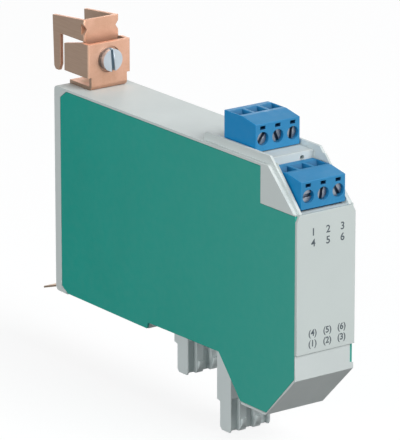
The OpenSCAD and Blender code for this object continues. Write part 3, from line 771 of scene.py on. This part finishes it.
@dataclass
class SoftPart:
    """A CAD node with its sharp edges rounded as a mould or a press leaves them.

    Args:
        node: Name of the CAD node.
        finish: Its finish.
        slot: Its material slot.
        body: CAD body that it rides on.
        width: Width of the rounding in millimetres.
        segments: Steps across the rounding.
        corner: Least angle in degrees between the faces of a rounded edge.
        shortest: Least length of a rounded edge, in widths of the rounding.
        strip: Greatest width in millimetres of a face that is shaded as a step of a round wall.
        convex: Most corners of a face that is left concave; one with more is cut into convex faces.
        stray: Widths that a rounded corner may lie off the sharp surface before it is put back on it.
        gauge: Gauge of the recesses, for a finish with painted shade in them.
    """

    node: str
    finish: Solid
    slot: str
    body: str = "housing"
    width: float = 0.15
    segments: int = 2
    corner: float = 32.0
    shortest: float = 2.4
    strip: float = 2.5
    convex: int = 200
    stray: float = 1.6
    gauge: RecessGauge = field(default_factory=RecessGauge)

    def prepare(self, bm: bmesh.types.BMesh) -> None:
        """Mends the merged mesh before its edges are rounded; a plain part needs nothing."""

    def simplify(self, bm: bmesh.types.BMesh) -> None:
        """Joins the triangles of each flat region into faces that the rounding can follow.

        Args:
            bm: The merged mesh.
        """
        open_rings(bm)
        bmesh.ops.dissolve_limit(bm, angle_limit=FLAT, verts=bm.verts, edges=bm.edges, delimit={"SEAM"})
        large = [face for face in bm.faces if len(face.verts) > self.convex]
        bmesh.ops.connect_verts_concave(bm, faces=large)

    def shade(self, bm: bmesh.types.BMesh) -> None:
        """Shades the steps of round walls smooth; all other faces stay flat.

        Args:
            bm: The simplified mesh.
        """
        for face in bm.faces:
            turns = [edge.calc_face_angle(0.0) for edge in face.edges]
            bends = sum(LEAST_BEND < turn < math.radians(self.corner) for turn in turns)
            wide = face.calc_area() / max(edge.calc_length() for edge in face.edges) > self.strip * MM
            face.smooth = bends > 0 and not wide and min(turns) > FLAT

    def soften(self, bm: bmesh.types.BMesh) -> None:
        """Rounds the sharp convex edges and puts stray corners of the rounding back on the surface.

        Args:
            bm: The simplified mesh.
        """
        reach = self.width * MM
        sharp = BVHTree.FromBMesh(bm)
        edges = [
            edge
            for edge in bm.edges
            if len(edge.link_faces) == 2
            and edge.is_convex
            and edge.calc_length() > self.shortest * reach
            and edge.calc_face_angle(0.0) > math.radians(self.corner)
        ]
        rounded = bmesh.ops.bevel(
            bm,
            geom=edges,
            offset=reach,
            offset_type="OFFSET",
            segments=self.segments,
            profile=0.5,
            affect="EDGES",
            clamp_overlap=False,
            loop_slide=True,
            material=-1,
        )
        for face in rounded["faces"]:
            face.smooth = True
        for vert in rounded["verts"]:
            place, _, _, off = sharp.find_nearest(vert.co)
            if off > self.stray * reach:
                vert.co = place

    def mesh(self) -> bmesh.types.BMesh:
        """Copies the node's mesh and rounds its edges.

        Returns:
            The rounded mesh.
        """
        bm = bmesh.new()
        bm.from_mesh(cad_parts[self.node].data)
        bmesh.ops.remove_doubles(bm, verts=bm.verts, dist=MERGE)
        self.prepare(bm)
        self.simplify(bm)
        self.shade(bm)
        self.soften(bm)
        # Marks how closed in each corner is, for the painted shade in recesses.
        if self.finish.painted_recess_shade is not None:
            self.gauge.mark(bm)
        return bm

    def build(self) -> bpy.types.Object:
        """Makes the rounded piece in place of its node.

        Returns:
            The piece.
        """
        piece = make_piece(f"{self.node}_rounded", self.mesh(), self.finish, self.body)
        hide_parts(self.node)
        return piece


@dataclass
class FrameShell(SoftPart):
    """The grey frame, whose thin tongues above the side covers' front corners are cut aslant.

    Args:
        lip: Height of the front lip in millimetres.
        wall: Least distance of a tongue's tip from the middle, in millimetres.
        nose: Greatest distance of the tip behind the front face, in millimetres.
        skin: Greatest distance of the tip from the lip's height, in millimetres.
        tongue: Length of a tongue in millimetres.
    """

    lip: float = 50.8
    wall: float = 9.9
    nose: float = 1.0
    skin: float = 0.1
    tongue: float = 1.1

    def prepare(self, bm: bmesh.types.BMesh) -> None:
        """Draws the tip of each tongue in.

        Args:
            bm: The merged mesh.
        """
        for vert in bm.verts:
            tip = vert.co / MM - Vector((0.0, FRONT_Y, self.lip))
            if abs(tip.x) > self.wall and tip.y < self.nose and abs(tip.z) < self.skin:
                vert.co.x -= math.copysign(self.tongue * MM, tip.x)


@dataclass
class PlainPart:
    """A CAD node that keeps its mesh and only gets a finish.

    Args:
        node: Name of the CAD node.
        finish: Its finish.
    """

    node: str
    finish: Finish

    def build(self) -> bpy.types.Object:
        """Puts the finish on the node.

        Returns:
            The node's object.
        """
        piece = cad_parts[self.node]
        wear(piece, self.finish)
        LOG.info("%s keeps its CAD mesh", self.node)
        return piece


@dataclass(frozen=True)
class Row:
    """One row of printed figures.

    Args:
        height: Height of its middle in millimetres.
        size: Height of its letters in millimetres.
        texts: Its texts from left to right.
    """

    height: float
    size: float
    texts: tuple[str, ...]


@dataclass
class Figures:
    """Pole numbers printed on the front cover, in two groups of two rows.

    Args:
        columns: Places of the columns across, in millimetres.
        rows: The rows from top to bottom.
        letter: Size of the typeface for letters that are 1 tall.
        stroke: Width added on each side of a stroke in millimetres.
        steps: Steps in each curve of a letter.
        film: Thickness of the print in millimetres.
        gap: Gap between the cover and the print in millimetres.
        merge: Distance in millimetres under which corners of the print are one.
    """

    columns: tuple[float, ...] = (-4.5, 0.55, 5.45)
    rows: tuple[Row, ...] = (
        Row(45.3, 2.2, ("1", "2", "3")),
        Row(42.2, 2.2, ("4", "5", "6")),
        Row(16.7, 1.9, ("(4)", "(5)", "(6)")),
        Row(13.7, 1.9, ("(1)", "(2)", "(3)")),
    )
    letter: float = 1.35
    stroke: float = 0.05
    steps: int = 6
    film: float = 0.02
    gap: float = 0.004
    merge: float = 0.0001

    def glyph(self, text: str, size: float, centre: Vector) -> bpy.types.Mesh:
        """Draws one text on the front plane.

        Args:
            text: The text.
            size: Height of its letters in millimetres.
            centre: Its middle.

        Returns:
            Its mesh.
        """
        curve = bpy.data.curves.new("figure", "FONT")
        curve.body = text
        curve.size = size * MM * self.letter
        curve.align_x = "CENTER"
        curve.align_y = "CENTER"
        curve.offset = self.stroke * MM
        curve.extrude = self.film * MM / 2
        curve.resolution_u = self.steps
        holder = bpy.data.objects.new("figure", curve)
        bpy.context.scene.collection.objects.link(holder)
        bpy.context.view_layer.update()
        shown = holder.evaluated_get(bpy.context.evaluated_depsgraph_get())
        mesh = bpy.data.meshes.new_from_object(shown)
        mesh.transform(Matrix.Translation(centre) @ Matrix.Rotation(math.pi / 2, 4, "X"))
        bpy.data.objects.remove(holder)
        bpy.data.curves.remove(curve)
        return mesh

    def build(self) -> bpy.types.Object:
        """Prints all the figures as one piece.

        Returns:
            The piece.
        """
        whole = bmesh.new()
        for row in self.rows:
            for across, text in zip(self.columns, row.texts):
                mesh = self.glyph(text, row.size, at(across, -self.film / 2 - self.gap, row.height))
                whole.from_mesh(mesh)
                bpy.data.meshes.remove(mesh)
        bmesh.ops.remove_doubles(whole, verts=whole.verts, dist=self.merge * MM)
        return make_piece("front_figures", whole, FIGURE_INK, "housing")


@dataclass
class Housing:
    """Grey frame, green side covers and the front cover with its figures.

    Args:
        frame_edge: Rounding of the frame's edges in millimetres.
        cover_edge: Rounding of the covers' edges in millimetres.
        figures: The printed pole numbers.
    """

    frame_edge: float = 0.1
    cover_edge: float = 0.07
    figures: Figures = field(default_factory=Figures)

    def build(self) -> None:
        """Builds the housing's pieces."""
        FrameShell("housing_frame", FRAME_GREY, "frame_grey", width=self.frame_edge, convex=12).build()
        for side in ("left", "right"):
            SoftPart(f"side_cover_{side}", COVER_GREEN, "cover_green", width=self.cover_edge).build()
        SoftPart("front_cover", FRONT_GREY, "front_grey", width=self.cover_edge).build()
        self.figures.build()


@dataclass
class TerminalTiers:
    """Both terminal blocks with their screws, cages and contacts.

    Args:
        block_edge: Rounding of a block's edges in millimetres.
        screw_edge: Rounding of a screw's edges in millimetres.
        cage_edge: Rounding of a cage's edges in millimetres.
        poles: Number of all the screws.
    """

    block_edge: float = 0.16
    screw_edge: float = 0.12
    cage_edge: float = 0.1
    poles: int = 6

    def pole(self, number: int) -> None:
        """Builds the screw and the cage of one pole.

        Args:
            number: Number of the pole.
        """
        SoftPart(
            f"terminal_screw_{number}",
            SHADED_TERMINAL_SCREW,
            "plated_screw",
            body=f"screw_{number}",
            width=self.screw_edge,
        ).build()
        SoftPart(
            f"clamp_cage_{number}", CAGE_BRASS, "cage_brass", body=f"cage_{number}", width=self.cage_edge
        ).build()

    def build(self) -> None:
        """Builds the tiers' pieces."""
        for tier in ("upper", "lower"):
            SoftPart(f"terminal_block_{tier}", TERMINAL_BLUE, "terminal_blue", width=self.block_edge).build()
            PlainPart(f"terminal_contacts_{tier}", TINNED_CONTACT).build()
        for number in range(1, self.poles + 1):
            self.pole(number)


@dataclass
class Plugs:
    """The two plugs under the belly.

    Args:
        body_edge: Rounding of their bodies' edges in millimetres.
        contact_edge: Rounding of their contacts' edges in millimetres.
    """

    body_edge: float = 0.16
    contact_edge: float = 0.08

    def build(self) -> None:
        """Builds the plugs' pieces."""
        for place in ("front", "rear"):
            SoftPart(f"plug_body_{place}", PLUG_GREY, "plug_grey", width=self.body_edge, convex=4).build()
            contacts = f"plug_contacts_{place}"
            SoftPart(contacts, TINNED_CONTACT, "tinned_contact", width=self.contact_edge).build()


@dataclass
class Circuit:
    """Board and components inside the housing."""

    def build(self) -> None:
        """Gives the hidden circuit its finishes."""
        PlainPart("circuit_board", BOARD_GREEN).build()
        PlainPart("discharge_tubes", TUBE_CERAMIC).build()
        PlainPart("suppressor_diodes", DIODE_BLACK).build()
        PlainPart("decoupling_resistors", RESISTOR_TAN).build()


@dataclass
class EarthClamp:
    """Copper box, rail clip, clamp screw, strip and rivets.

    Args:
        sheet_edge: Rounding of the sheet's edges in millimetres.
        screw_edge: Rounding of the screw's edges in millimetres.
        strip_edge: Rounding of the strip's edges in millimetres.
        rivet_edge: Rounding of the rivets' edges in millimetres.
    """

    sheet_edge: float = 0.16
    screw_edge: float = 0.2
    strip_edge: float = 0.12
    rivet_edge: float = 0.2

    def build(self) -> None:
        """Builds the clamp's pieces."""
        for node, body in (("earth_clamp_box", "housing"), ("earth_rail_clip", "rail_clip")):
            SoftPart(node, COPPER_SHEET, "copper_sheet", body=body, width=self.sheet_edge, convex=12).build()
        SoftPart(
            "earth_clamp_screw", PLATED_SCREW, "plated_screw", body="clamp_screw", width=self.screw_edge
        ).build()
        SoftPart("earth_strip", COPPER_STRIP, "copper_sheet", width=self.strip_edge).build()
        SoftPart("earth_rivets", RIVET_BRASS, "rivet_brass", width=self.rivet_edge).build()


@dataclass(frozen=True)
class Lamp:
    """Square soft light that faces the object.

    Args:
        name: Name of the lamp.
        place: Its place in metres.
        side: Its side in metres.
        power: Its power in watts.
        aim: Place in metres that it faces.
    """

    name: str
    place: tuple[float, float, float]
    side: float
    power: float
    aim: tuple[float, float, float] = (0.0, 0.0, 0.02)

    def build(self) -> None:
        """Hangs the lamp."""
        data = bpy.data.lights.new(self.name, "AREA")
        data.shape, data.size, data.energy = "SQUARE", self.side, self.power
        lamp = bpy.data.objects.new(self.name, data)
        bpy.context.scene.collection.objects.link(lamp)
        lamp.location = self.place
        lamp.rotation_euler = (Vector(self.aim) - Vector(self.place)).to_track_quat("-Z", "Y").to_euler()


@dataclass
class Studio:
    """Camera, floor and lights.

    Args:
        eye: Place of the camera in metres.
        right: Direction of the picture's right.
        up: Direction of the picture's top.
        sensor: Width of the camera's sensor in millimetres.
        lens: Focal length in millimetres.
        near: Least distance that the camera sees, in metres.
        far: Greatest distance that the camera sees, in metres.
        floor_half: Half the side of the floor in metres.
        floor_gap: Gap between the lowest point and the floor in metres.
        floor_colour: Linear colour of the floor's paint.
        floor_glow: Strength of the floor's own light.
        floor_pale: Share of its own light in what the floor shows.
        ambient: Strength of the light from all round.
        ambient_colour: Linear colour of the light from all round.
        bounce: Share of the light that the floor throws back at the object.
        lamps: The lamps.
    """

    eye: tuple[float, float, float] = (-0.6980, -0.9859, 0.3982)
    right: tuple[float, float, float] = (0.8066, -0.5911, 0.0)
    up: tuple[float, float, float] = (0.1744, 0.2380, 0.9555)
    sensor: float = 36.0
    lens: float = 360.7
    near: float = 0.05
    far: float = 20.0
    floor_half: float = 3.0
    floor_gap: float = 0.0003
    floor_colour: tuple[float, float, float] = (0.86, 0.87, 0.88)
    floor_glow: float = 1.1
    floor_pale: float = 0.77
    ambient: float = 0.26
    ambient_colour: tuple[float, float, float] = (0.97, 0.985, 1.0)
    bounce: float = 0.16
    lamps: tuple[Lamp, ...] = (
        Lamp("key", (0.35, -1.3, 0.8), 0.9, 10.2),
        Lamp("high", (0.25, -1.1, 1.15), 0.9, 9.6),
        Lamp("left", (-1.4, -0.45, 0.3), 0.9, 10.8),
        Lamp("back", (1.1, 1.1, 0.2), 0.5, 5.5),
    )

    def camera(self) -> None:
        """Places the camera at the photograph's viewing angle."""
        data = bpy.data.cameras.new("camera")
        data.sensor_width = self.sensor
        data.lens = self.lens
        data.clip_start, data.clip_end = self.near, self.far
        camera = bpy.data.objects.new("camera", data)
        bpy.context.scene.collection.objects.link(camera)
        right, up = Vector(self.right).normalized(), Vector(self.up).normalized()
        back = right.cross(up).normalized()
        up = back.cross(right)
        turned = Matrix((right, up, back)).transposed().to_4x4()
        camera.matrix_world = Matrix.Translation(Vector(self.eye)) @ turned
        bpy.context.scene.camera = camera

    def split(
        self, tree: bpy.types.NodeTree, lit: bpy.types.Node, shown: bpy.types.Node
    ) -> bpy.types.NodeSocket:
        """Lights the object with one shader and shows another one to the camera and in reflections.

        Args:
            tree: Node tree that holds both shaders.
            lit: Shader for rays that light the object.
            shown: Shader for camera, glossy and transmission rays.

        Returns:
            The split shader.
        """
        path = tree.nodes.new("ShaderNodeLightPath")
        seen = path.outputs["Is Camera Ray"]
        for name in ("Is Glossy Ray", "Is Transmission Ray"):
            either = tree.nodes.new("ShaderNodeMath")
            either.operation = "MAXIMUM"
            tree.links.new(seen, either.inputs[0])
            tree.links.new(path.outputs[name], either.inputs[1])
            seen = either.outputs[0]
        mix = tree.nodes.new("ShaderNodeMixShader")
        tree.links.new(seen, mix.inputs["Fac"])
        tree.links.new(lit.outputs[0], mix.inputs[1])
        tree.links.new(shown.outputs[0], mix.inputs[2])
        return mix.outputs[0]

    def world(self) -> None:
        """Surrounds the object with soft light and shows plain white behind it."""
        world = bpy.data.worlds.new("studio")
        bpy.context.scene.world = world
        world.use_nodes = True
        tree = world.node_tree
        tree.nodes.clear()
        output = tree.nodes.new("ShaderNodeOutputWorld")
        lit, shown = tree.nodes.new("ShaderNodeBackground"), tree.nodes.new("ShaderNodeBackground")
        lit.inputs["Color"].default_value = (*self.ambient_colour, 1.0)
        lit.inputs["Strength"].default_value = self.ambient
        shown.inputs["Color"].default_value = (1.0, 1.0, 1.0, 1.0)
        tree.links.new(self.split(tree, lit, shown), output.inputs["Surface"])

    def paint(self) -> bpy.types.Material:
        """Mixes the floor's paint, which shows nearly white and throws little light back.

        Returns:
            The material.
        """
        material = bpy.data.materials.new("pale_floor")
        material.use_nodes = True
        tree = material.node_tree
        tree.nodes.clear()
        output = tree.nodes.new("ShaderNodeOutputMaterial")
        pale, dim = tree.nodes.new("ShaderNodeBsdfDiffuse"), tree.nodes.new("ShaderNodeBsdfDiffuse")
        glow, shown = tree.nodes.new("ShaderNodeEmission"), tree.nodes.new("ShaderNodeMixShader")
        pale.inputs["Color"].default_value = (*self.floor_colour, 1.0)
        dim.inputs["Color"].default_value = (self.bounce, self.bounce, self.bounce, 1.0)
        glow.inputs["Strength"].default_value = self.floor_glow
        shown.inputs["Fac"].default_value = self.floor_pale
        tree.links.new(pale.outputs[0], shown.inputs[1])
        tree.links.new(glow.outputs[0], shown.inputs[2])
        tree.links.new(self.split(tree, dim, shown), output.inputs["Surface"])
        return material

    def floor(self) -> None:
        """Lays a floor under the object, which keeps its shadow."""
        bm = bmesh.new()
        bmesh.ops.create_grid(bm, x_segments=4, y_segments=4, size=self.floor_half)
        bmesh.ops.translate(bm, verts=bm.verts, vec=(0.0, 0.0, CAD_BOX[0].z - self.floor_gap))
        mesh = bpy.data.meshes.new("floor")
        bm.to_mesh(mesh)
        bm.free()
        floor = bpy.data.objects.new("floor", mesh)
        bpy.context.scene.collection.objects.link(floor)
        mesh.materials.append(self.paint())

    def build(self) -> None:
        """Sets the whole studio."""
        self.camera()
        self.world()
        self.floor()
        for lamp in self.lamps:
            lamp.build()
        bpy.context.scene.view_settings.view_transform = "Standard"


def main() -> None:
    """Builds the dressed barrier and its studio."""
    logging.basicConfig(level=logging.INFO, format="%(name)s %(message)s")
    Studio().build()
    for part in (Housing(), TerminalTiers(), Plugs(), Circuit(), EarthClamp()):
        part.build()
        LOG.info("%s is built", type(part).__name__)
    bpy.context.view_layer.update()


if __name__ == "__main__":
    main()
